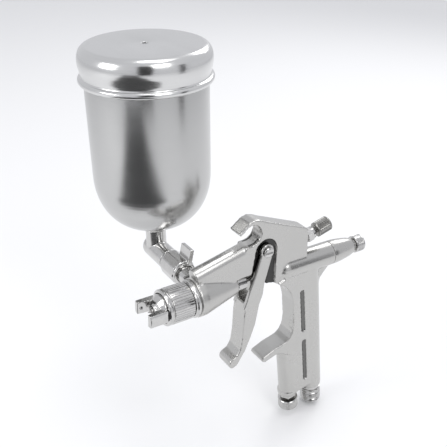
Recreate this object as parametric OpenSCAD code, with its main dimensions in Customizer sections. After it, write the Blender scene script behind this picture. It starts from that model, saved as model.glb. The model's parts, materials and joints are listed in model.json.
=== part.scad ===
// Small spray gun with a side cup: cast body, cup on a swivelling elbow, fluid needle, air valve,
// fan-pattern valve, air regulator, horned air cap and a lever trigger.
//
// Frame: the origin is the centre of the air inlet's mouth, +X is the spray direction, +Z is up.
// Most modules draw from the spray axis: x runs forward from the retaining ring's front face.

/* [Spray head] */
// Outer radius of the knurled retaining ring
ring_r = 9.7; // [9.2:0.1:10]
// Length of the retaining ring along the spray axis
ring_l = 14.7; // [13.5:0.1:16]
// Radius of the body nose behind the ring
nose_r = 10.6; // [10.2:0.1:11]
// Distance of the air cap horns from the spray axis
horn_off = 6.3; // [5.8:0.1:6.5]
// Reach of the horns in front of the ring
horn_reach = 10.5; // [9:0.5:12]

/* [Casting] */
// Half thickness of the flat flanks of the casting
flank = 4.5; // [4.2:0.1:4.8]
// Half thickness of the handle
grip_half = 5.9; // [5.6:0.1:6.2]
// Radius of the rear barrel
barrel_r = 7.1; // [6.8:0.1:7.4]
// Radius of the hanging hook's throat
hook_r = 6; // [5.5:0.1:6.2]

/* [Handle] */
// Distance of the handle axis behind the ring, on the spray axis
handle_back = 94.1; // [92:0.5:96]
// Rearward lean of the handle
handle_lean = 8.6; // [6:0.1:10]
// Distance from the spray axis to the inlet's mouth, along the handle
handle_len = 111.6; // [108:0.5:116]
// Radius of the column that carries the air
column_r = 6.9; // [6.8:0.1:7.2]
// Distance from the air column to the regulator column
column_gap = 18.3; // [17.5:0.1:19]

/* [Trigger] */
// Half width of the blade and of the fork's outside
blade_half = 5.8; // [5.5:0.1:6]

/* [Side cup] */
// Distance of the cup's tube behind the ring
tube_x = 26.4; // [26:0.1:27]
// Distance of the cup's axis from the gun's middle plane
cup_y = 54.1; // [53:0.5:58]
// Forward tilt of the cup about its tube
cup_tilt = 2.5; // [0:0.5:5]
// Outer radius of the cup's wall
cup_r = 31.9; // [31:0.1:32.5]
// Height of the lid's top above the tube's axis
lid_top = 118.9; // [116:0.5:122]

/* [Air inlet] */
// Crest radius of the G 1/4 inlet thread
inlet_r = 6.58; // [6.55:0.01:6.6]
// Pitch of the inlet thread
inlet_pitch = 1.337; // [1.3:0.001:1.4]

/* [Fits] */
// Radial clearance of a shaft in its bore
run = 0.06; // [0.03:0.01:0.09]

/* [Hidden] */
$fn = 48;
pivot_x = -61;
pivot_z = 18;
fork_in = 3.2;
recess_floor = 2.9;
stem_r = 2.2;
needle_r = 1.25;
bore_r = 5.2;
barrel_end = -110.5;
sleeve_end = -127.5;
knob_front = -129.6;
knob_rear = -136;
seat_x = -74.5;
disc_x = -79.8;
collar_x = -84;
channel_x = 7.9;
hook_c = [-51.2, 29.4];
bar_slope = 13.8;
inlet_turns = 9;
bar_r = 4.6;
inlet_length = inlet_turns * inlet_pitch;
sleeve_lip = barrel_end - 3;
pattern_at = [-90.2, 0, 16.1];
pattern_tilt = 15.3;
pattern_bore = 2.95;
panel_w = -93;
boss_w = -97.5;
neck_r = 5.8;
elbow_r = 6.4;
dome_mid = 50;
dome_low = 19;
dome_power = 2.15;
dome_steps = 12;
cup_top = 107.5;
cup_wall = 1;
lid_gap = 0.3;
bead_z = 102.2;
bead_r = 34.7;
spring_steps = 14;
axis_x = handle_back + handle_len * sin(handle_lean);
axis_z = handle_len * cos(handle_lean);

// ---- Frames and helpers ----

module from_axis() {
    translate([axis_x, 0, axis_z]) children();
}

// Handle frame inside the casting, which is drawn from the spray axis: z up along the handle.
module on_column() {
    translate([-handle_back, 0, 0]) rotate([0, handle_lean, 0]) children();
}

// The same frame for pieces drawn from the part's origin.
module on_handle() {
    from_axis() on_column() children();
}

// Regulator frame: the front column of the handle.
module on_regulator() {
    on_handle() translate([column_gap, 0, 0]) children();
}

// Pattern valve frame: -x runs rearward and up, out of the casting.
module on_pattern() {
    from_axis() translate(pattern_at) rotate([0, pattern_tilt, 0]) children();
}

// Cup frame: origin on the tube's axis in the gun's middle plane, z up the cup.
module on_cup() {
    from_axis() translate([-tube_x, 0, 0]) rotate([0, cup_tilt, 0]) children();
}

// Solid of revolution about the x axis, from a list of [radius, x].
module turn_x(profile) {
    rotate([0, 90, 0]) rotate_extrude() polygon(profile);
}

// Solid of revolution about the y axis, from a list of [radius, y].
module turn_y(profile) {
    rotate([-90, 0, 0]) rotate_extrude() polygon(profile);
}

// Round bar along x, from x0 up to x1.
module bar_x(r, x0, x1) {
    translate([x0, 0, 0]) rotate([0, 90, 0]) cylinder(r = r, h = x1 - x0);
}

// Round bar along y, from y0 up to y1.
module bar_y(r, y0, y1) {
    translate([0, y0, 0]) rotate([-90, 0, 0]) cylinder(r = r, h = y1 - y0);
}

// Round bar along z, from z0 up to z1.
module bar_z(r, z0, z1) {
    translate([0, 0, z0]) cylinder(r = r, h = z1 - z0);
}

// Flat plate in the x-z plane, centred on y = 0, from a list of [x, z].
module plate(outline, half) {
    rotate([90, 0, 0]) linear_extrude(2 * half, center = true) polygon(outline);
}

// Tube along x.
module pipe_x(r, hole, x0, x1) {
    difference() {
        bar_x(r, x0, x1);
        bar_x(hole, x0 - 1, x1 + 1);
    }
}

// Coil spring drawn as a tube of its wire's thickness, with its turns as grooves.
module coil_tube(mean_r, wire, x0, x1) {
    pitch = (x1 - x0) / spring_steps;
    inner = mean_r - wire;
    outer = mean_r + wire;
    waist = mean_r + wire * 0.2;
    turn_x(concat(
        [[inner, x0]],
        [for (i = [0:spring_steps - 1]) each [
            [outer, x0 + (i + 0.1) * pitch],
            [outer, x0 + (i + 0.5) * pitch],
            [waist, x0 + (i + 0.6) * pitch],
            [waist, x0 + (i + 1) * pitch]
        ]],
        [[inner, x1]]
    ));
}

// ---- Cast body ----

module casting_plate() {
    plate([
        [-42.8, 32.4], [-49, 37.4], [-52.4, 38.2], [-55.6, 37.6], [-59.5, 35.8],
        [-87.6, 24.8], [-89.4, 23], [-90.6, 4], [-93, -6], [-88, -14], [-80.4, -14.6],
        [-76, -9.2], [-70.3, -5.8], [-63.2, -4.4], [-63.2, 5], [-52.6, 5.6], [-44, 5],
        [-22, 3], [-21, 11], [-46.5, 18], [-48.4, 23.4]
    ], flank);
}

module top_bar(r, tail, front) {
    translate([-19, 0, 12]) rotate([0, bar_slope, 0]) bar_x(r, tail, front);
}

module nose() {
    turn_x([[0, -44], [5.4, -44], [nose_r, -22.5], [nose_r, -18.2], [0, -18.2]]);
    // Boss that takes the paint inlet
    translate([-tube_x, 0, 0]) bar_y(6.2, -11.2, 0);
}

module rear_barrel() {
    bar_x(barrel_r, barrel_end, -78);
    translate([-78, 0, 0]) sphere(r = barrel_r);
    // Fillet from the barrel down to the handle
    plate([[-110.5, -4], [-106, -8.2], [-102.8, -12.5], [-102, -18], [-92, -18], [-92, -2]],
        flank - 0.5);
}

module grip() {
    on_column() bar_z(column_r, boss_w, -3);
    plate_on_handle([
        [0, -3], [0, panel_w], [column_gap, panel_w], [column_gap, -58], [22.6, -56.6],
        [24.4, -54.4], [29, -52.4], [36.8, -53.6], [38.9, -52.6], [39.4, -51], [38.2, -49.8],
        [30.5, -48], [22, -47.4], [18.6, -45.6], [16.2, -42], [14.8, -36], [14.6, -20],
        [15.6, -13.6], [19.4, -6.4], [24.4, -2.4], [12, 0]
    ], grip_half);
    on_column() translate([column_gap, 0, 0]) {
        bar_z(5.5, panel_w, -50);
        bar_z(6.3, panel_w - 1.2, panel_w + 2);
    }
}

module plate_on_handle(outline, half) {
    on_column() plate(outline, half);
}

module hook_throat() {
    translate([hook_c[0], 0, hook_c[1]]) bar_y(hook_r, -10, 10);
    plate([
        [hook_c[0], hook_c[1] + hook_r], [-49.4, 35.1], [-43.9, 30.9], [-36, 26],
        [-42, 21.6], [-48, 23.4], [hook_c[0], hook_c[1] - hook_r]
    ], 10);
}

// Pockets in both flanks that the trigger's fork swings in.
module fork_pockets() {
    for (side = [-1, 1])
        translate([0, side * (recess_floor + 5), 0]) {
            translate([pivot_x, 0, pivot_z]) bar_y(6.9, -5, 5);
            plate([
                [-54.1, pivot_z], [-52.4, 5.5], [-50, -9], [-69.5, -9], [-68.4, 2],
                [-67.9, pivot_z]
            ], 5);
        }
}

module air_ways() {
    bar_x(bore_r, barrel_end - 1, seat_x);
    bar_x(stem_r + run, seat_x - 1, -60);
    on_column() {
        bar_z(3.6, boss_w - 1, 0);
        bar_z(4.6, boss_w - 1, -86);
        translate([column_gap, 0, 0]) {
            bar_z(pattern_bore, panel_w - 5, -77);
            bar_z(2.2, -78, -66);
        }
        translate([0, 0, -68]) bar_x(1.8, 0, column_gap);
    }
    translate(pattern_at) rotate([0, pattern_tilt, 0]) {
        bar_x(pattern_bore, -5, 9);
        bar_x(2.2, 8, 17);
    }
    translate([-72.8, 0, 0]) bar_z(1.5, 0, 14);
}

module fluid_ways() {
    bar_x(4.1, -30, -10);
    bar_x(2.4, -37.6, -29);
    bar_x(3.25, -45, -37.5);
    translate([-tube_x, 0, 0]) bar_y(2.4, -10, 0);
    translate([-tube_x, 0, 0]) bar_y(4.1, -15, -6.5);
}

// Two decorative channels in line down each side of the handle.
module side_channels() {
    for (side = [-1, 1])
        for (ends = [[-46, -15], [-86, -53]])
            on_column() translate([channel_x, side * grip_half, ends[0]])
                translate([-1.4, -1.4, 0]) cube([2.8, 2.8, ends[1] - ends[0]]);
}

module gun_body() {
    color("gainsboro") from_axis() difference() {
        union() {
            casting_plate();
            top_bar(bar_r, -31, 0.6);
            nose();
            rear_barrel();
            grip();
        }
        hook_throat();
        fork_pockets();
        air_ways();
        fluid_ways();
        side_channels();
        translate([pivot_x, 0, pivot_z]) bar_y(1.55, -10, 10);
    }
}

// ---- Spray head ----

module head_collar() {
    color("silver") from_axis() turn_x([
        [4.15, -18.2], [9.6, -18.2], [10.2, -17.6], [10.2, -16.4], [9.6, -16], [9.6, -15.1],
        [8.3, -15.1], [8.3, -3.7], [7, -3.7], [7, -13], [4.15, -13]
    ]);
}

module air_baffle() {
    color("goldenrod") from_axis() pipe_x(6.95, 4.6, -13, -11);
}

module fluid_nozzle() {
    color("lightgray") from_axis() turn_x([
        [1.7, -29.9], [4.08, -29.9], [4.08, -11], [5.6, -11], [5.6, -8], [4.4, -7.6],
        [4, -2.5], [1.5, 1.8], [1.5, 5.6], [0.78, 5.6], [0.78, 3], [1.7, 0]
    ]);
}

module horn(side) {
    // Wedge-shaped horn: its inner face leans away from the spray
    intersection() {
        translate([0, side * horn_off, 0]) rotate([0, 0, side * 8])
            translate([0, -1.9, -3.4]) cube([horn_reach, 4, 6.8]);
        bar_x(9, 0.4, horn_reach);
    }
}

module air_cap() {
    color("silver") from_axis() difference() {
        union() {
            turn_x([
                [0, -3.4], [8.3, -3.4], [8.3, -1.2], [7.7, -1.2], [7.7, 1], [5.4, 3.2],
                [3.4, 3.8], [3.2, 5], [0, 5]
            ]);
            for (side = [-1, 1]) horn(side);
        }
        turn_x([[0, -4], [6.4, -4], [6.4, -0.2], [1.95, 2.6], [1.95, 6], [0, 6]]);
        for (side = [-1, 1])
            translate([horn_reach - 3, side * horn_off, 0]) rotate([0, 0, side * 35])
                translate([0, -side * 5, 0]) bar_y(1, -4, 4);
    }
}

module retaining_ring() {
    color("silver") from_axis() difference() {
        turn_x([
            [0, -ring_l], [ring_r, -ring_l], [ring_r, -0.6], [ring_r - 0.6, 0], [0, 0]
        ]);
        bar_x(8.3 + run, -ring_l - 1, -3.5);
        bar_x(8.4, -4, -1);
        bar_x(8, -2, 1);
    }
}

// ---- Needle, packing and paint inlet ----

module paint_inlet() {
    color("silver") from_axis() translate([-tube_x, 0, 0]) difference() {
        union() {
            bar_y(4.08, -11.4, -6.6);
            translate([0, -14.6, 0]) rotate([-90, 30, 0]) cylinder(r = 6.6, h = 3.4, $fn = 6);
            bar_y(5, -27, -14.4);
        }
        bar_y(2.4, -28, -6);
    }
}

module packing_nut() {
    color("silver") from_axis() difference() {
        union() {
            bar_x(3.22, -44, -41);
            turn_x([[0, -50], [4.1, -50], [4.6, -49.5], [4.6, -44.6], [4.2, -44], [0, -44]]);
        }
        bar_x(needle_r + run, -53, -40);
        // Screwdriver slot across the rear face
        translate([-51, -0.6, -6]) cube([2.4, 1.2, 12]);
    }
}

module needle_packing() {
    color("white") from_axis() pipe_x(3.2, needle_r + 0.02, -41, -37.7);
}

module fluid_needle() {
    color("lightgray") from_axis() turn_x([
        [0, -111.5], [0.9, -111.5], [needle_r, -111.1], [needle_r, -1.4], [0.7, 3], [0.7, 5.8],
        [0.1, 7.6], [0, 7.6]
    ]);
}

module needle_collar() {
    color("darkgoldenrod") from_axis()
        pipe_x(3.3, needle_r, collar_x - 4, collar_x);
}

module needle_spring() {
    color("dimgray") from_axis() coil_tube(2.4, 0.35, -117.3, collar_x - 4.1);
}

// ---- Air valve ----

module air_valve_seat() {
    color("darkgoldenrod") from_axis()
        pipe_x(bore_r - 0.02, 3, disc_x + 0.3, seat_x);
}

module air_valve_stem() {
    color("lightgray") from_axis() difference() {
        union() {
            bar_x(stem_r, collar_x + 1, -57.3);
            turn_x([
                [0, -58.7], [2.6, -58.7], [2.9, -58.4], [2.9, -57.5], [2.6, -57.2], [0, -57.2]
            ]);
            bar_x(4.3, disc_x - 1.8, disc_x - 0.9);
        }
        bar_x(needle_r + run, collar_x, -56);
    }
}

module air_valve_seal() {
    color("black") from_axis() pipe_x(4.3, stem_r, disc_x - 0.9, disc_x);
}

module air_valve_spring() {
    color("dimgray") from_axis() coil_tube(4.5, 0.35, -103.9, disc_x - 1.9);
}

module rear_sleeve() {
    color("gainsboro") from_axis() difference() {
        turn_x([
            [0, -127.5], [4.6, -127.5], [5, -127.1], [6, -123.2], [6.6, -118.5],
            [7, sleeve_lip], [7, barrel_end], [4.5, barrel_end],
            [4.5, -107], [bore_r - 0.02, -107], [bore_r - 0.02, -104], [0, -104]
        ]);
        bar_x(3.5, -121, -103);
        bar_x(3 + run, sleeve_end - 1, -120);
    }
}

module sleeve_oring() {
    color("black") from_axis() pipe_x(bore_r - 0.02, 4.5, -109.6, -107.6);
}

module fluid_knob() {
    color("silver") from_axis() union() {
        bar_x(3, knob_front - 0.5, -117.5);
        turn_x([
            [0, knob_rear], [4.4, knob_rear], [5.1, knob_rear + 0.7],
            [5.1, knob_front - 0.3], [4.8, knob_front], [0, knob_front]
        ]);
    }
}

// ---- Fan-pattern valve ----

module pattern_guide() {
    color("silver") on_pattern() difference() {
        union() {
            turn_x([[0, -6.6], [3.3, -6.6], [3.6, -6.2], [3.6, -4.6], [0, -4.6]]);
            translate([-4.6, 0, 0]) rotate([0, 90, 0]) cylinder(r = 4.3, h = 3.4, $fn = 6);
            bar_x(pattern_bore - 0.02, -1.3, 4.5);
        }
        bar_x(1.6 + run, -8, 6);
    }
}

module pattern_knob() {
    color("dimgray") on_pattern() difference() {
        turn_x([
            [0, -17.8], [3.6, -17.8], [4.3, -17.2], [4.3, -8.9], [3.9, -8.3], [0, -8.3]
        ]);
        bar_x(1.6, -14, -8);
    }
}

module pattern_stem() {
    color("lightgray") on_pattern() difference() {
        union() {
            bar_x(1.6, -14, 11);
            turn_x([[0, 11], [1.6, 11], [0.9, 12.6], [0, 12.6]]);
        }
        // Groove of the O-ring
        pipe_x(3, 1.1, 6, 7.2);
    }
}

module pattern_oring() {
    color("black") on_pattern() turn_x([
        [1.1, 6.1], [1.1, 7.1], [pattern_bore - 0.1, 7.1], [pattern_bore - 0.02, 6.9],
        [pattern_bore - 0.02, 6.3], [pattern_bore - 0.1, 6.1]
    ]);
}

// ---- Air regulator ----

module regulator_guide() {
    color("silver") on_regulator() difference() {
        union() {
            bar_z(pattern_bore - 0.02, panel_w - 1.2, -84);
            translate([0, 0, panel_w - 3.8]) cylinder(r = 5.2, h = 2.6, $fn = 6);
        }
        bar_z(1.6 + run, panel_w - 6, -82);
    }
}

module regulator_knob() {
    color("silver") on_regulator() difference() {
        rotate_extrude() polygon([
            [0, panel_w - 13.2], [5.6, panel_w - 13.2], [6.3, panel_w - 12.5],
            [6.3, panel_w - 6.6], [5.7, panel_w - 5.9], [0, panel_w - 5.9]
        ]);
        bar_z(1.6, panel_w - 10, panel_w);
    }
}

module regulator_stem() {
    color("lightgray") on_regulator() difference() {
        union() {
            bar_z(1.6, panel_w - 10, -74);
            rotate_extrude() polygon([[0, -74], [1.6, -74], [0.8, -71], [0, -71]]);
        }
        difference() {
            bar_z(3, -81, -79.8);
            bar_z(1.1, -82, -79);
        }
    }
}

module regulator_oring() {
    color("black") on_regulator() rotate_extrude() polygon([
        [1.1, -80.9], [pattern_bore - 0.1, -80.9], [pattern_bore - 0.02, -80.7],
        [pattern_bore - 0.02, -80.1], [pattern_bore - 0.1, -79.9], [1.1, -79.9]
    ]);
}

// ---- Air inlet ----

// Threaded nipple: ring grooves stand for the thread, with crest lands at the full radius.
module air_inlet() {
    color("silver") on_handle() difference() {
        union() {
            bar_z(inlet_r, -handle_len, -handle_len + inlet_length);
            bar_z(6.2, -handle_len + inlet_length, boss_w - 0.02);
            bar_z(4.58, boss_w - 0.03, -87.2);
        }
        for (i = [0:inlet_turns - 1])
            translate([0, 0, -handle_len + (i + 0.35) * inlet_pitch]) thread_groove();
        bar_z(3.6, -handle_len - 1, -86);
    }
}

module thread_groove() {
    rotate_extrude() polygon([
        [inlet_r + 0.01, 0], [inlet_r - 0.75, 0.3], [inlet_r - 0.75, 0.4],
        [inlet_r + 0.01, 0.75], [inlet_r + 1, 0.75], [inlet_r + 1, 0]
    ]);
}

// ---- Trigger ----

module fork_arm(side) {
    translate([0, side * (fork_in + blade_half) / 2, 0]) plate([
        [-57.8, 18.6], [-56, 11.6], [-53.6, 3], [-50.8, -4.8], [-48.7, -12], [-47.6, -15], [-58, -15],
        [-60, -9], [-60.6, -2], [-63.2, 9], [-64.8, 15.6]
    ], (blade_half - fork_in) / 2);
}

module trigger() {
    color("gainsboro") from_axis() difference() {
        union() {
            for (side = [-1, 1]) {
                fork_arm(side);
                translate([pivot_x, side * (fork_in + blade_half) / 2, pivot_z])
                    bar_y(4.2, -(blade_half - fork_in) / 2, (blade_half - fork_in) / 2);
                // Rounded pad that pushes the air valve's flange
                translate([-54.9, 0, 0])
                    bar_y(2.2, min(side * 1.9, side * 4), max(side * 1.9, side * 4));
            }
            plate([
                [-48.7, -12], [-48.1, -20], [-47.9, -34], [-47, -41.8], [-44.9, -45.7],
                [-41.6, -47.1], [-40.2, -48.6], [-39.9, -50.4], [-40.6, -52.6], [-42.4, -53.4],
                [-45.2, -52.2], [-50.1, -44.3], [-53.3, -36.5], [-56.2, -27.3], [-58.5, -12]
            ], blade_half);
        }
        translate([pivot_x, 0, pivot_z]) bar_y(2 + run, -10, 10);
    }
}

module pivot_screw() {
    color("silver") from_axis() translate([pivot_x, 0, pivot_z]) difference() {
        union() {
            bar_y(2, 2.95, 6.1);
            bar_y(1.53, -4.6, 3);
            rotate([90, 0, 0]) rotate_extrude() polygon([
                [0, -7.5], [2.4, -7.5], [3.1, -7], [3.1, -6.1], [0, -6.1]
            ]);
        }
        // Screwdriver slot
        translate([-4, 6.9, -0.4]) cube([8, 2, 0.8]);
    }
}

module pivot_nut() {
    color("silver") from_axis() translate([pivot_x, 0, pivot_z]) difference() {
        union() {
            bar_y(2, -6.1, -2.95);
            rotate([90, 0, 0]) rotate_extrude() polygon([
                [0, 6.1], [3.1, 6.1], [3.1, 7], [2.4, 7.5], [0, 7.5]
            ]);
        }
        bar_y(1.53, -4.7, 0);
        translate([-4, -8.9, -0.4]) cube([8, 2, 0.8]);
    }
}

// ---- Side cup ----

module cup_elbow() {
    color("silver") on_cup() difference() {
        union() {
            turn_y([
                [0, -62], [4.2, -61.7], [5.6, -60.8], [6.3, -59.2], [elbow_r, -57.5],
                [elbow_r, -38.6], [0, -38.6]
            ]);
            translate([0, -cup_y, 0]) bar_z(neck_r, 0, 14);
            bar_y(5.6, -38.7, -34.6);
            turn_y([[0, -34.6], [4.4, -34.6], [2.4, -27.4], [0, -27.4]]);
        }
        bar_y(1.7, -cup_y, -26);
        translate([0, -cup_y, 0]) bar_z(2.6, 0, 15);
    }
}

module wing_nut() {
    color("silver") from_axis() translate([-tube_x, 0, 0]) difference() {
        union() {
            translate([0, -36.8, 0]) rotate([-90, 0, 0]) cylinder(r = 7.5, h = 13.6, $fn = 10);
            bar_y(6.7, -38, -21.5);
            // Thumb wing
            rotate([0, -10, 0]) translate([-2.9, -31, 5]) cube([2.4, 10, 9.5]);
        }
        bar_y(5 + run, -28, -21);
        bar_y(5.6 + run, -39, -27.9);
    }
}

// Cup wall from the flat round the outlet up to the straight part, grown inward by inset.
function dome(inset) = [
    for (i = [0:dome_steps])
        let (t = 90 * i / dome_steps)
        [
            7 + (cup_r - inset - 7) * pow(sin(t), 2 / dome_power),
            dome_mid - (dome_mid - dome_low - inset) * pow(cos(t), 2 / dome_power)
        ]
];

module cup() {
    inner = dome(cup_wall);
    color("silver") on_cup() translate([0, -cup_y, 0]) rotate_extrude($fn = 96)
        polygon(concat(
            [[4, dome_low]], dome(0),
            [[cup_r, cup_top], [cup_r - cup_wall, cup_top]],
            [for (i = [dome_steps:-1:0]) inner[i]],
            [[4, dome_low + cup_wall]]
        ));
}

module cup_outlet() {
    color("silver") on_cup() translate([0, -cup_y, 0]) rotate_extrude() polygon([
        [2.6, 14.8], [neck_r, 14.8], [neck_r, dome_low], [3.98, dome_low],
        [3.98, dome_low + cup_wall], [6.5, dome_low + cup_wall], [6.5, dome_low + 2],
        [6, dome_low + 2.4], [2.6, dome_low + 2.4]
    ]);
}

module outlet_gasket() {
    color("white") on_cup() translate([0, -cup_y, 14]) difference() {
        bar_z(neck_r - 0.3, 0, 0.8);
        bar_z(2.6, -1, 2);
    }
}

module lid() {
    skirt = cup_r + lid_gap;
    color("silver") on_cup() translate([0, -cup_y, 0]) rotate_extrude($fn = 96) polygon([
        [1.6, lid_top - 1], [1.6, lid_top], [29.4, lid_top], [31.6, lid_top - 0.8],
        [33.1, lid_top - 2.5], [33.9, lid_top - 5], [34.1, lid_top - 7.5],
        [33.8, lid_top - 10], [33.2, lid_top - 12.6], [32.95, bead_z + 1.9],
        [33.8, bead_z + 1.6], [34.5, bead_z + 0.9], [bead_r, bead_z], [34.5, bead_z - 0.9],
        [33.8, bead_z - 1.5], [33.1, bead_z - 1.7], [skirt, bead_z - 1.5],
        [skirt, lid_top - 8], [31.8, lid_top - 4], [30.6, lid_top - 2], [29, lid_top - 1]
    ]);
}

module lid_seal() {
    color("white") on_cup() translate([0, -cup_y, 0]) difference() {
        bar_z(cup_r + lid_gap - 0.02, cup_top + 0.3, cup_top + 1.8);
        bar_z(cup_r - 2, cup_top, cup_top + 2);
    }
}

// ---- Output ----

gun_body();
head_collar();
fluid_nozzle();
air_baffle();
air_cap();
retaining_ring();
paint_inlet();
packing_nut();
needle_packing();
fluid_needle();
needle_collar();
needle_spring();
air_valve_seat();
air_valve_stem();
air_valve_seal();
air_valve_spring();
rear_sleeve();
sleeve_oring();
fluid_knob();
pattern_guide();
pattern_knob();
pattern_stem();
pattern_oring();
regulator_guide();
regulator_knob();
regulator_stem();
regulator_oring();
air_inlet();
trigger();
pivot_screw();
pivot_nut();
cup_elbow();
wing_nut();
cup();
cup_outlet();
outlet_gasket();
lid();
lid_seal();
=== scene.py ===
# %% [markdown]
# # HVLP spray gun: looks on a fixed CAD frame
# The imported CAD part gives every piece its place. This script keeps most inner pieces as they are,
# builds finer versions of the ones in sight, gives each a procedural finish, and lights the set.

# %% Frame
import json
import math

import bmesh
import bpy
from mathutils import Matrix, Vector


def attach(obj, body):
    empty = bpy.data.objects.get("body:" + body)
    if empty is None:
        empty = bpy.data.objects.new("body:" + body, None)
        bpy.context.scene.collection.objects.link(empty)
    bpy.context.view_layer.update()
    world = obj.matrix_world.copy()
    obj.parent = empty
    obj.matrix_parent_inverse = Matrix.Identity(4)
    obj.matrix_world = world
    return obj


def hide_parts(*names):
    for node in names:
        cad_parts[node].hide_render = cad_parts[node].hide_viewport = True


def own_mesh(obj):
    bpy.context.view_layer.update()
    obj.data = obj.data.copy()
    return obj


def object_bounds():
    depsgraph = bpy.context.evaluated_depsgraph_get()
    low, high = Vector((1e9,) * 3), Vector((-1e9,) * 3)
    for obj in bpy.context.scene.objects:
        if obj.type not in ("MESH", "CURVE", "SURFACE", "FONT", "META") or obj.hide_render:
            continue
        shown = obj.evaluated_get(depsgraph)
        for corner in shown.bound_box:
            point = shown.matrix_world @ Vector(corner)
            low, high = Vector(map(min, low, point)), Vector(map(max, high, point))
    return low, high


MM = 0.001
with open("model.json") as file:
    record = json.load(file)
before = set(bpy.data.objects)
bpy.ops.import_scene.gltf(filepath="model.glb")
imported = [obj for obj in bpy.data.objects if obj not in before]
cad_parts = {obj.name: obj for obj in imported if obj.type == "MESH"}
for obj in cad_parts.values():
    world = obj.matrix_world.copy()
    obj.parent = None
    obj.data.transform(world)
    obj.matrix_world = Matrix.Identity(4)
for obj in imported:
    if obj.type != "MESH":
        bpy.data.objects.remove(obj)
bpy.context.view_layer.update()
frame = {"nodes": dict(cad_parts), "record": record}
nodes = frame["nodes"]

# %% [markdown]
# ## Working frames
# The row's origin is the air inlet's mouth. Most pieces are turned, so each is drawn round its own
# Z and then carried by one of these matrices: spray axis, handle, pattern valve or cup.

# %% Frames
HANDLE_BACK, HANDLE_LEN, COLUMN_GAP = 94.1, 111.6, 18.3  # mm
CUP_Y, TUBE_X = 54.1, 26.4  # mm
LEAN, PATTERN_TILT, CUP_TILT = 8.6, 15.3, 2.5  # degrees
AXIS_X = HANDLE_BACK + HANDLE_LEN * math.sin(math.radians(LEAN))
AXIS_Z = HANDLE_LEN * math.cos(math.radians(LEAN))


def move(x, y, z):
    return Matrix.Translation(Vector((x, y, z)) * MM)


def turn(degrees, axis):
    return Matrix.Rotation(math.radians(degrees), 4, axis)


SPRAY = move(AXIS_X, 0, AXIS_Z)
ALONG_X = turn(90, "Y")
HANDLE = SPRAY @ move(-HANDLE_BACK, 0, 0) @ turn(LEAN, "Y")
REGULATOR = HANDLE @ move(COLUMN_GAP, 0, 0)
PATTERN = SPRAY @ move(-90.2, 0, 16.1) @ turn(PATTERN_TILT, "Y") @ ALONG_X
CUP = SPRAY @ move(-TUBE_X, 0, 0) @ turn(CUP_TILT, "Y") @ move(0, -CUP_Y, 0)
SPRAY_X = SPRAY @ ALONG_X
print("spray axis height, mm:", round(AXIS_Z, 1))

# %% [markdown]
# ## Finishes
# A metal is its colour, its roughness and the marks of how it was made. Casting leaves a fine
# grain, turning leaves lines round the axis, handling leaves soft smudges. Each is a noise on
# object coordinates, stretched along the lines where the finish is brushed.

# %% Materials
SMUDGE_SCALE = 45  # of the noise that handling leaves
# Colour of the painted shade laid into the recesses and channels
PAINTED_SHADE_COLOUR = (0.015, 0.015, 0.015, 1)


def finish(name, colour, rough, metallic=1.0, grain=900.0, bump=0.03, stretch=(1, 1, 1),
           vary=0.08, smudge=0.08):
    mat = bpy.data.materials.new(name)
    mat.use_nodes = True
    nt = mat.node_tree
    bsdf = nt.nodes["Principled BSDF"]
    coord = nt.nodes.new("ShaderNodeTexCoord")
    mapping = nt.nodes.new("ShaderNodeMapping")
    mapping.inputs["Scale"].default_value = stretch
    nt.links.new(coord.outputs["Object"], mapping.inputs["Vector"])

    def noise(scale, source, detail):
        n = nt.nodes.new("ShaderNodeTexNoise")
        n.inputs["Scale"].default_value = scale
        n.inputs["Detail"].default_value = detail
        nt.links.new(source, n.inputs["Vector"])
        return n.outputs["Fac"]

    def spread(fac, low, high):
        m = nt.nodes.new("ShaderNodeMapRange")
        m.inputs["From Min"].default_value = 0.3
        m.inputs["From Max"].default_value = 0.7
        m.inputs["To Min"].default_value = low
        m.inputs["To Max"].default_value = high
        nt.links.new(fac, m.inputs["Value"])
        return m.outputs["Result"]

    fine = noise(grain, mapping.outputs["Vector"], 4)
    patches = noise(SMUDGE_SCALE, coord.outputs["Object"], 5)
    both = nt.nodes.new("ShaderNodeMath")
    both.operation = "ADD"
    nt.links.new(spread(fine, -vary / 3, vary / 3), both.inputs[0])
    nt.links.new(spread(patches, rough - smudge / 3, rough + smudge), both.inputs[1])
    nt.links.new(both.outputs[0], bsdf.inputs["Roughness"])
    tint = nt.nodes.new("ShaderNodeMix")
    tint.data_type = "RGBA"
    tint.inputs[6].default_value = (*(c * (1 - vary) for c in colour), 1)
    tint.inputs[7].default_value = (*(min(1, c * (1 + vary)) for c in colour), 1)
    nt.links.new(spread(fine, 0.1, 0.9), tint.inputs[0])
    # Meshes may carry an attribute that paints shade into the base colour, darkening recesses that
    # lie in shadow
    painted_shade = nt.nodes.new("ShaderNodeAttribute")
    painted_shade.attribute_name = "painted_shade"
    darken = nt.nodes.new("ShaderNodeMix")
    darken.data_type = "RGBA"
    darken.inputs[7].default_value = PAINTED_SHADE_COLOUR
    nt.links.new(painted_shade.outputs["Fac"], darken.inputs[0])
    nt.links.new(tint.outputs[2], darken.inputs[6])
    nt.links.new(darken.outputs[2], bsdf.inputs["Base Color"])
    bsdf.inputs["Metallic"].default_value = metallic
    relief = nt.nodes.new("ShaderNodeBump")
    relief.inputs["Strength"].default_value = 1.0
    relief.inputs["Distance"].default_value = bump * MM
    nt.links.new(fine, relief.inputs["Height"])
    nt.links.new(relief.outputs["Normal"], bsdf.inputs["Normal"])
    return mat


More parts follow.
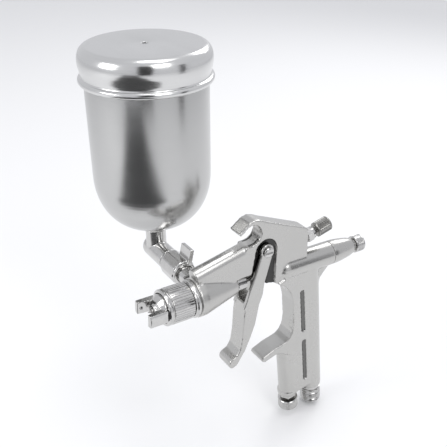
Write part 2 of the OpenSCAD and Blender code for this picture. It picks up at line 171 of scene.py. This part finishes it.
FINISHES = {
    "cast_nickel": finish("cast_nickel", (0.52, 0.515, 0.5), 0.25, grain=1100, bump=0.004,
                          vary=0.03),
    "chrome": finish("chrome", (0.57, 0.565, 0.555), 0.13, grain=500, bump=0.002, smudge=0.05),
    "stainless": finish("stainless", (0.45, 0.44, 0.43), 0.2, stretch=(6, 0.4, 0.4), bump=0.006),
    "satin_steel": finish("satin_steel", (0.52, 0.52, 0.515), 0.22, grain=110,
                          stretch=(0.1, 0.1, 22), bump=0.002, vary=0.03, smudge=0.04),
    "spring_steel": finish("spring_steel", (0.36, 0.36, 0.37), 0.28, bump=0.004),
    "brass": finish("brass", (0.7, 0.5, 0.2), 0.25, bump=0.006),
    "dark_knob": finish("dark_knob", (0.34, 0.335, 0.32), 0.28, bump=0.01),
    "black_rubber": finish("black_rubber", (0.02, 0.02, 0.02), 0.6, metallic=0, bump=0.02),
    "white_plastic": finish("white_plastic", (0.8, 0.79, 0.75), 0.45, metallic=0, bump=0.008),
}
LID_POLISH = finish("lid_polish", (0.66, 0.66, 0.655), 0.19, grain=110, stretch=(0.1, 0.1, 22),
                    bump=0.002, vary=0.03, smudge=0.04)
slot_of = {s["node"]: s["material_slot"] for s in frame["record"]["subparts"]}
body_of = {n: b for b, names in frame["record"]["behaviour"]["bodies"].items() for n in names}
for name, obj in nodes.items():
    obj.data.materials.clear()
    obj.data.materials.append(FINISHES[slot_of[name]])
print("finishes:", sorted(FINISHES))

# %% [markdown]
# ## Helpers for new pieces
# `settle` puts a finished mesh on its body and hides the CAD node it stands for. `soften` turns
# each corner of a profile into a small arc, because a machined edge is always broken and that
# thin highlight is what makes metal read as metal. `turned` spins a profile round Z as a lathe
# does, and `evaluated` keeps what modifiers make and drops the modifiers.

# %% Helpers


def settle(mesh, node, material=None, angle=35):
    mesh.materials.clear()
    mesh.materials.append(material or FINISHES[slot_of[node]])
    mesh.shade_smooth()
    mesh.set_sharp_from_angle(angle=math.radians(angle))
    obj = bpy.data.objects.new(f"look_{node}", mesh)
    bpy.context.scene.collection.objects.link(obj)
    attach(obj, body_of[node])
    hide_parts(node)
    return obj


def soften(points, r=0.3, steps=3):
    """The closed profile with an arc of radius r, in mm, in place of each corner off the axis."""
    out = []
    count = len(points)
    for i, p in enumerate(points):
        p, a, b = Vector(p), Vector(points[i - 1]), Vector(points[(i + 1) % count])
        ea, eb = a - p, b - p
        cut = min(r, ea.length * 0.4, eb.length * 0.4)
        if p.x < 1e-6 or cut < 1e-4 or abs(ea.normalized().dot(eb.normalized())) > 0.999:
            out.append(p)
            continue
        start, end = p + ea.normalized() * cut, p + eb.normalized() * cut
        for k in range(steps + 1):
            t = k / steps
            out.append(start * (1 - t) ** 2 + p * 2 * t * (1 - t) + end * t * t)
    return out


def turned(name, points, matrix, r=0.3, segments=96):
    """Closed profile of (radius, height) in mm, turned round Z and carried by matrix."""
    profile = soften([Vector(p) for p in points], r)
    verts, rings = [], []
    for p in profile:
        if p.x < 1e-6:
            rings.append([len(verts)] * segments)
            verts.append((0, 0, p.y * MM))
            continue
        rings.append(list(range(len(verts), len(verts) + segments)))
        for s in range(segments):
            a = 2 * math.pi * s / segments
            verts.append((p.x * MM * math.cos(a), p.x * MM * math.sin(a), p.y * MM))
    faces = []
    for i, low in enumerate(rings):
        high = rings[(i + 1) % len(rings)]
        for s in range(segments):
            n = (s + 1) % segments
            face = list(dict.fromkeys((low[s], low[n], high[n], high[s])))
            if len(face) > 2:
                faces.append(face)
    mesh = bpy.data.meshes.new(name)
    mesh.from_pydata(verts, [], faces)
    mesh.transform(matrix)
    return outward(mesh)


def outward(mesh):
    """The mesh with every face pointing away from its inside."""
    bm = bmesh.new()
    bm.from_mesh(mesh)
    bmesh.ops.recalc_face_normals(bm, faces=bm.faces)
    bm.to_mesh(mesh)
    bm.free()
    return mesh


def evaluated(mesh, build):
    """The plain mesh left by the modifiers that build() puts on a scratch object."""
    scratch = bpy.data.objects.new("scratch", mesh)
    bpy.context.scene.collection.objects.link(scratch)
    build(scratch)
    graph = bpy.context.evaluated_depsgraph_get()
    result = bpy.data.meshes.new_from_object(scratch.evaluated_get(graph), depsgraph=graph)
    bpy.data.objects.remove(scratch)
    return result


print("helpers:", ", ".join(f.__name__ for f in (settle, soften, turned, outward, evaluated)))


# %% [markdown]
# ## Castings and forgings
# The CAD edges are exact and sharp. A cast or forged piece has none, so its mesh is rebuilt on a
# fine grid and relaxed until the edges carry a soft radius, as blasting and polishing do.

# %% Cast pieces
RECESS = (-69.5, -49.5, -9.0, 26.0)  # x and z limits from the spray axis, mm
FLOOR_LOW, FLOOR_HIGH = 2.0, 3.4  # distance of the recess floor from the middle plane, mm
CHANNEL_X, CHANNEL_DEPTH = (6.4, 9.4), (4.2, 5.35)  # across the handle and from its middle, mm
CHANNELS = ((-46, -15), (-86, -53))  # the two channels' ends along the handle, mm
# Strength of the painted shade on the channel floors and on the recess floor
CHANNEL_PAINTED_SHADE, RECESS_PAINTED_SHADE = 0.7, 0.9
# Grid size in mm and number of relaxing passes
CASTINGS = {"gun_body": (0.56, 4), "trigger": (0.35, 26), "cup_elbow": (0.3, 3),
            "wing_nut": (0.3, 3), "air_cap": (0.22, 2), "pivot_screw": (0.18, 1),
            "pivot_nut": (0.18, 1), "paint_inlet": (0.28, 2)}


def shade_recess(mesh):
    """Paints shade onto the floors of the trigger's recess and the handle's channels, darkening them
    as if they lay in shadow.
    """
    painted_shade = mesh.attributes.new("painted_shade", "FLOAT", "POINT")
    x0, x1, z0, z1 = RECESS
    to_handle = HANDLE.inverted()
    for v in mesh.vertices:
        x, y, z = to_handle @ v.co / MM
        if (CHANNEL_X[0] < x < CHANNEL_X[1] and CHANNEL_DEPTH[0] < abs(y) < CHANNEL_DEPTH[1]
                and any(low < z < high for low, high in CHANNELS)):
            painted_shade.data[v.index].value = CHANNEL_PAINTED_SHADE
        x, y, z = v.co.x / MM - AXIS_X, abs(v.co.y / MM), v.co.z / MM - AXIS_Z
        if x0 < x < x1 and z0 < z < z1 and FLOOR_LOW < y < FLOOR_HIGH:
            painted_shade.data[v.index].value = RECESS_PAINTED_SHADE


def cast(node, voxel, relax):
    def build(obj):
        grid = obj.modifiers.new("grid", "REMESH")
        grid.mode = "VOXEL"
        grid.voxel_size = voxel * MM
        smooth = obj.modifiers.new("relax", "SMOOTH")
        smooth.factor = 0.5
        smooth.iterations = relax
    mesh = evaluated(nodes[node].data.copy(), build)
    if node == "gun_body":
        shade_recess(mesh)
    settle(mesh, node, angle=60)
    return len(mesh.polygons)


for node, (voxel, relax) in CASTINGS.items():
    print(node, cast(node, voxel, relax), "faces")

# %% [markdown]
# ## Repeats by rule
# Knurls, threads and springs are one small shape repeated by a rule, so Geometry Nodes make them.
# A knurl sets bars round a turned core. A coil sweeps a round wire along a helix, and with a
# short pitch the same group cuts the look of a screw thread.

# %% Geometry Nodes groups


def group(name, sockets):
    tree = bpy.data.node_groups.new(name, "GeometryNodeTree")
    tree.interface.new_socket("Geometry", in_out="INPUT", socket_type="NodeSocketGeometry")
    for label, kind in sockets:
        tree.interface.new_socket(label, in_out="INPUT", socket_type="NodeSocket" + kind)
    tree.interface.new_socket("Geometry", in_out="OUTPUT", socket_type="NodeSocketGeometry")
    return tree, tree.nodes.new("NodeGroupInput"), tree.nodes.new("NodeGroupOutput")


def make_ending(tree, core, repeats, gin, gout):
    """Joins the repeats to the core, makes instances real and sets the material."""
    join = tree.nodes.new("GeometryNodeJoinGeometry")
    real = tree.nodes.new("GeometryNodeRealizeInstances")
    paint = tree.nodes.new("GeometryNodeSetMaterial")
    for a, b in ((core, join.inputs[0]), (repeats, join.inputs[0]),
                 (join.outputs[0], real.inputs[0]), (real.outputs[0], paint.inputs["Geometry"]),
                 (gin.outputs["Material"], paint.inputs["Material"]),
                 (paint.outputs[0], gout.inputs[0])):
        tree.links.new(a, b)


def make_knurl():
    tree, gin, gout = group("knurl", [("Count", "Int"), ("Radius", "Float"), ("Size", "Vector"),
                                      ("Height", "Float"), ("Material", "Material")])
    circle = tree.nodes.new("GeometryNodeMeshCircle")
    lift = tree.nodes.new("GeometryNodeTransform")
    up = tree.nodes.new("ShaderNodeCombineXYZ")
    cube = tree.nodes.new("GeometryNodeMeshCube")
    spot = tree.nodes.new("GeometryNodeInstanceOnPoints")
    place = tree.nodes.new("GeometryNodeInputPosition")
    flat = tree.nodes.new("ShaderNodeVectorMath")
    flat.operation = "MULTIPLY"
    flat.inputs[1].default_value = (1, 1, 0)
    align = tree.nodes.new("FunctionNodeAlignRotationToVector")
    align.axis = "X"
    align.pivot_axis = "Z"
    # Bars stand on an edge, so that each shows as a small ridge
    tip = tree.nodes.new("GeometryNodeTransform")
    tip.inputs["Rotation"].default_value = (0, 0, math.radians(45))
    for a, b in ((gin.outputs["Count"], circle.inputs["Vertices"]),
                 (gin.outputs["Radius"], circle.inputs["Radius"]),
                 (gin.outputs["Height"], up.inputs["Z"]),
                 (circle.outputs[0], lift.inputs["Geometry"]),
                 (up.outputs[0], lift.inputs["Translation"]),
                 (gin.outputs["Size"], cube.inputs["Size"]),
                 (cube.outputs["Mesh"], tip.inputs["Geometry"]),
                 (lift.outputs[0], spot.inputs["Points"]),
                 (tip.outputs[0], spot.inputs["Instance"]),
                 (place.outputs[0], flat.inputs[0]),
                 (flat.outputs[0], align.inputs["Vector"]),
                 (align.outputs[0], spot.inputs["Rotation"])):
        tree.links.new(a, b)
    make_ending(tree, gin.outputs["Geometry"], spot.outputs[0], gin, gout)
    return tree


def make_coil():
    tree, gin, gout = group("coil", [("Turns", "Float"), ("Radius", "Float"), ("Height", "Float"),
                                     ("Wire", "Float"), ("Base", "Float"),
                                     ("Material", "Material")])
    spiral = tree.nodes.new("GeometryNodeCurveSpiral")
    spiral.inputs["Resolution"].default_value = 24
    wire = tree.nodes.new("GeometryNodeCurvePrimitiveCircle")
    wire.inputs["Resolution"].default_value = 8
    sweep = tree.nodes.new("GeometryNodeCurveToMesh")
    sweep.inputs["Fill Caps"].default_value = True
    lift = tree.nodes.new("GeometryNodeTransform")
    up = tree.nodes.new("ShaderNodeCombineXYZ")
    for a, b in ((gin.outputs["Turns"], spiral.inputs["Rotations"]),
                 (gin.outputs["Radius"], spiral.inputs["Start Radius"]),
                 (gin.outputs["Radius"], spiral.inputs["End Radius"]),
                 (gin.outputs["Height"], spiral.inputs["Height"]),
                 (gin.outputs["Wire"], wire.inputs["Radius"]),
                 (spiral.outputs[0], sweep.inputs["Curve"]),
                 (wire.outputs[0], sweep.inputs["Profile Curve"]),
                 (gin.outputs["Base"], up.inputs["Z"]),
                 (sweep.outputs[0], lift.inputs["Geometry"]),
                 (up.outputs[0], lift.inputs["Translation"])):
        tree.links.new(a, b)
    make_ending(tree, gin.outputs["Geometry"], lift.outputs[0], gin, gout)
    return tree


KNURL, COIL = make_knurl(), make_coil()


def grown(core, tree, matrix, **values):
    """Core mesh drawn round Z, with the group's repeats added, carried by matrix."""
    def build(obj):
        modifier = obj.modifiers.new(tree.name, "NODES")
        modifier.node_group = tree
        for item in tree.interface.items_tree:
            if item.in_out == "INPUT" and item.name in values:
                modifier[item.identifier] = values[item.name]
    mesh = evaluated(core, build)
    mesh.transform(matrix)
    return outward(mesh)


print("groups:", KNURL.name, COIL.name)

# %% [markdown]
# ## Spray head
# The ring that holds the air cap is turned, then knurled over most of its length. A smooth band
# and a thin groove are left at its front, where the knurling wheel can't reach.

# %% Spray head
RIDGES, RIDGE_SIZE = 44, (0.74, 0.74, 11)  # of the ring's knurl; width, depth and length in mm
ring = turned("ring", [(8.36, -14.7), (9.4, -14.7), (9.4, -3.2), (8.9, -3), (8.9, -2.5),
                       (9.65, -2.3), (9.65, -0.6), (9.0, 0), (8, 0), (8, -1.0), (8.4, -1.0),
                       (8.4, -14)], Matrix(), r=0.25)
ring = grown(ring, KNURL, SPRAY_X, Count=RIDGES, Radius=9.16 * MM,
             Size=tuple(v * MM for v in RIDGE_SIZE), Height=-8.9 * MM)
settle(ring, "retaining_ring")
settle(turned("collar", [(4.15, -18.2), (9.9, -18.2), (10.2, -17.8), (10.2, -16.4), (9.6, -16),
                         (9.6, -15.1), (8.3, -15.1), (8.3, -3.7), (7, -3.7), (7, -13),
                         (4.15, -13)], SPRAY_X), "head_collar")
settle(turned("nozzle", [(1.7, -29.9), (4.08, -29.9), (4.08, -11), (5.6, -11), (5.6, -8),
                         (4.4, -7.6), (4, -2.5), (1.5, 1.8), (1.5, 5.6), (0.8, 5.6), (0.8, 3),
                         (1.7, 0)], SPRAY_X, r=0.15), "fluid_nozzle")
print("ring faces:", len(ring.polygons))

# %% [markdown]
# ## Knobs and rear sleeve
# Every knob is a roll with a knurled waist between two smooth lips. The lips stop the ridges from
# catching a glove, and they carry the brightest highlights.

# %% Knobs
LIP = 1.0  # length of each smooth lip, mm


def knob(node, radius, low, high, core_extra, matrix, count, ridge=0.5):
    """Knurled roll of that radius between two heights, with core_extra closing its profile."""
    depth = ridge * 0.7
    profile = [(0, low), (radius - 0.5, low), (radius, low + 0.5), (radius, low + LIP),
               (radius - depth, low + LIP + 0.2), (radius - depth, high - LIP - 0.2),
               (radius, high - LIP), (radius, high - 0.5), (radius - 0.5, high)] + core_extra
    core = turned(node, profile, Matrix(), r=0.2, segments=64)
    length = high - low - 2 * LIP - 0.5
    mesh = grown(core, KNURL, matrix, Count=count, Radius=(radius - depth - 0.02) * MM,
                 Size=(ridge * MM, ridge * MM, length * MM), Height=(low + high) / 2 * MM)
    settle(mesh, node)


knob("fluid_knob", 5.1, -136, -129.6, [(3, -129.6), (3, -117.5), (0, -117.5)], SPRAY_X, 60,
     ridge=0.25)
knob("pattern_knob", 4.3, -17.8, -8.3, [(1.6, -8.3), (1.6, -14), (0, -14)], PATTERN, 32)
knob("regulator_knob", 6.3, -106.2, -98.9, [(1.6, -98.9), (1.6, -103), (0, -103)], REGULATOR, 70,
     ridge=0.25)
settle(turned("sleeve", [(3.06, -127.5), (4.4, -127.5), (5, -126.8), (5.6, -124.6), (6.1, -122),
                         (6.5, -119), (6.85, -116), (7, -113.5), (7, -110.5), (4.5, -110.5),
                         (4.5, -107), (5.18, -107), (5.18, -104), (3.5, -104), (3.5, -121),
                         (3.06, -121)], SPRAY_X, r=0.2), "rear_sleeve")
print("knobs:", "fluid_knob, pattern_knob, regulator_knob")

# %% [markdown]
# ## Coils: springs and the inlet thread
# The springs are round wire on a helix. The inlet's thread
# is the same group with a fine pitch over a plain core, so its ridges climb as a real thread's do.
# The two O-rings are turned from a round section.

# %% Coils
WIRE, THREAD_WIRE = 0.35, 0.54  # radius of the swept section, mm
ORING_MID, ORING_WIDE, ORING_TALL = 2.01, 0.86, 0.48  # its section's middle and half sizes, mm
NO_CORE = bpy.data.meshes.new("no_core")
for node, mean, low, high, turns, joint, keep in (
        ("needle_spring", 2.4, -117.1, -89.4, 14, "needle_slide", 0.85),
        ("air_valve_spring", 4.5, -103.5, -82.1, 10, "valve_slide", 0.81)):
    mesh = grown(NO_CORE.copy(), COIL, SPRAY_X, Turns=float(turns), Radius=mean * MM,
                 Height=(high - low) * MM, Wire=WIRE * MM, Base=low * MM)
    coil = settle(mesh, node)
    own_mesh(coil)
core = turned("inlet", [(3.6, -111.6), (5.9, -111.6), (5.9, -99.8), (6.2, -99.6), (6.2, -97.52),
                        (4.58, -97.5), (4.58, -87.2), (3.6, -87.2)], Matrix(), r=0.25)
mesh = grown(core, COIL, HANDLE, Turns=8.0, Radius=6.02 * MM, Height=10.5 * MM,
             Wire=THREAD_WIRE * MM, Base=-111 * MM)
settle(mesh, "air_inlet")
print("thread faces:", len(mesh.polygons))
for node, matrix, middle in (("pattern_oring", PATTERN, 6.6),
                             ("regulator_oring", REGULATOR, -80.4)):
    section = [(ORING_MID + ORING_WIDE * math.cos(a), middle + ORING_TALL * math.sin(a))
               for a in (2 * math.pi * i / 16 for i in range(16))]
    settle(turned(node, section, matrix, r=0, segments=48), node)

# %% [markdown]
# ## Cup and lid
# The cup is deep-drawn and spun, so it is drawn as one smooth profile with a rounded dome. The
# lid is pressed: flat top, rolled shoulder, and a bead at the lower edge that stiffens the rim.

# %% Cup and lid
CUP_R, CUP_TOP, DOME_MID, DOME_LOW, FLAT_R = 31.9, 107.5, 50.0, 19.0, 7  # mm
STEPS, POWER = 24, 2.15  # a power over 2 squares the dome's curve a little


def dome(inset):
    """Points of the dome from the flat round the outlet up to the straight wall."""
    out = []
    for i in range(STEPS + 1):
        t = math.pi / 2 * i / STEPS
        across, down = (max(0.0, f(t)) ** (2 / POWER) for f in (math.sin, math.cos))
        out.append((FLAT_R + (CUP_R - inset - FLAT_R) * across,
                    DOME_MID - (DOME_MID - DOME_LOW - inset) * down))
    return out


settle(turned("cup", [(4, DOME_LOW)] + dome(0) + [(CUP_R, CUP_TOP), (CUP_R - 1, CUP_TOP)]
              + dome(1)[::-1] + [(4, DOME_LOW + 1)], CUP, r=0.3, segments=160), "cup", angle=50)
settle(turned("lid", [(1.6, 117.9), (1.6, 118.9), (29.4, 118.9), (30.6, 118.6), (31.7, 118.0),
                      (32.6, 117.1), (33.3, 115.9), (33.8, 114.4), (34.05, 112.8), (34.1, 111.2),
                      (33.95, 109.5), (33.6, 107.8), (33.2, 106.2), (32.98, 104.6),
                      (33.2, 104.0), (33.9, 103.7), (34.5, 103.1), (34.7, 102.2), (34.5, 101.3),
                      (33.9, 100.7), (33.1, 100.5), (32.2, 100.7), (32.2, 110.9), (31.8, 114.9),
                      (30.6, 116.9), (29, 117.9)], CUP, r=0.5, segments=160), "lid",
       material=LID_POLISH, angle=60)
print("cup radius and height of its rim, mm:", CUP_R, CUP_TOP)

# %% [markdown]
# ## Stage, light and camera
# Metal shows what stands round it, so four soft boxes give it bright bands and three dark cards
# give those bands an edge. The floor lies just under the lowest point of the gun.

# %% Stage
lo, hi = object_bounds()


def plane(name, size, matrix, colour):
    bpy.ops.mesh.primitive_plane_add(size=1)
    obj = bpy.context.object
    obj.name = name
    obj.data.transform(matrix @ Matrix.Diagonal((size[0], size[1], 1, 1)))
    mat = bpy.data.materials.new(name)
    mat.use_nodes = True
    bsdf = mat.node_tree.nodes["Principled BSDF"]
    bsdf.inputs["Base Color"].default_value = (*colour, 1)
    bsdf.inputs["Roughness"].default_value = 0.9
    obj.data.materials.append(mat)
    # A card is seen only as a reflection
    if name != "floor":
        obj.visible_camera = obj.visible_shadow = obj.visible_diffuse = False
    return obj


plane("floor", (6, 6), Matrix.Translation((0, 0, lo.z - 0.002)), (0.86, 0.86, 0.86))


def facing(place, target):
    place, target = Vector(place), Vector(target)
    turned_to = (place - target).to_track_quat("Z", "Y").to_matrix().to_4x4()
    return Matrix.Translation(place) @ turned_to


CENTRE = ((lo + hi) / 2)[:]
for name, place, size in (("card_left", (0.55, 0.8, 0.3), (0.42, 1.3)),
                          ("card_right", (-0.45, 0.75, 0.15), (0.18, 0.9))):
    plane(name, size, facing(place, CENTRE), (0.01, 0.01, 0.01))
# The cup is seen from above, so it mirrors the floor in front of it, and its dark band is there
plane("card_low", (0.9, 0.4), Matrix.Translation((0.56, 0.33, lo.z - 0.001))
      @ turn(36, "Z"), (0.03, 0.03, 0.03))
for name, place, size, power in (("key", (0.1, 0.9, 0.9), 0.5, 2.6),
                                 ("left", (0.9, -0.1, 0.5), 0.4, 2),
                                 ("back", (-0.8, -0.5, 0.8), 0.5, 2.6),
                                 ("top", (0, 0, 1.2), 0.5, 2.4)):
    light = bpy.data.lights.new(name, "AREA")
    light.shape = "SQUARE"
    light.size = size
    light.energy = power
    lamp = bpy.data.objects.new(name, light)
    lamp.matrix_world = facing(place, CENTRE)
    bpy.context.scene.collection.objects.link(lamp)
world = bpy.data.worlds.new("studio")
world.use_nodes = True
world.node_tree.nodes["Background"].inputs["Color"].default_value = (0.95, 0.96, 1, 1)
world.node_tree.nodes["Background"].inputs["Strength"].default_value = 0.8
bpy.context.scene.world = world
bpy.context.scene.view_settings.view_transform = "Standard"
print("set: floor, three cards, four soft boxes")

# %% [markdown]
# ## Camera
# The camera stands in front of the gun, above it and to its left, close enough for the slight
# convergence of a product shot, and is rolled a little so that the gun leans as it should.

# %% Camera
AZIMUTH, ELEVATION, ROLL, LENS = 145.71, 28.02, 2.33, 53.1  # degrees, and mm for the lens
CAMERA_FROM_RING = (128.62, 240.99, 194.16)  # mm from the ring's front centre
azimuth, elevation, roll = (math.radians(v) for v in (AZIMUTH, ELEVATION, ROLL))
back = Vector((math.sin(azimuth) * math.cos(elevation), -math.cos(azimuth) * math.cos(elevation),
               math.sin(elevation)))
right = Vector((0, 0, 1)).cross(back).normalized()
up = back.cross(right)
tilted_right = right * math.cos(roll) + up * math.sin(roll)
tilted_up = up * math.cos(roll) - right * math.sin(roll)
camera = bpy.data.objects.new("camera", bpy.data.cameras.new("camera"))
camera.data.lens = LENS
camera.data.sensor_width = 36
camera.data.clip_start = 0.01
place = SPRAY @ (Vector(CAMERA_FROM_RING) * MM)
camera.matrix_world = Matrix([[*row, p] for row, p in zip(
    zip(tilted_right, tilted_up, back), place)] + [[0, 0, 0, 1]])
bpy.context.scene.collection.objects.link(camera)
bpy.context.scene.camera = camera
print("camera at, m:", [round(c, 3) for c in place])
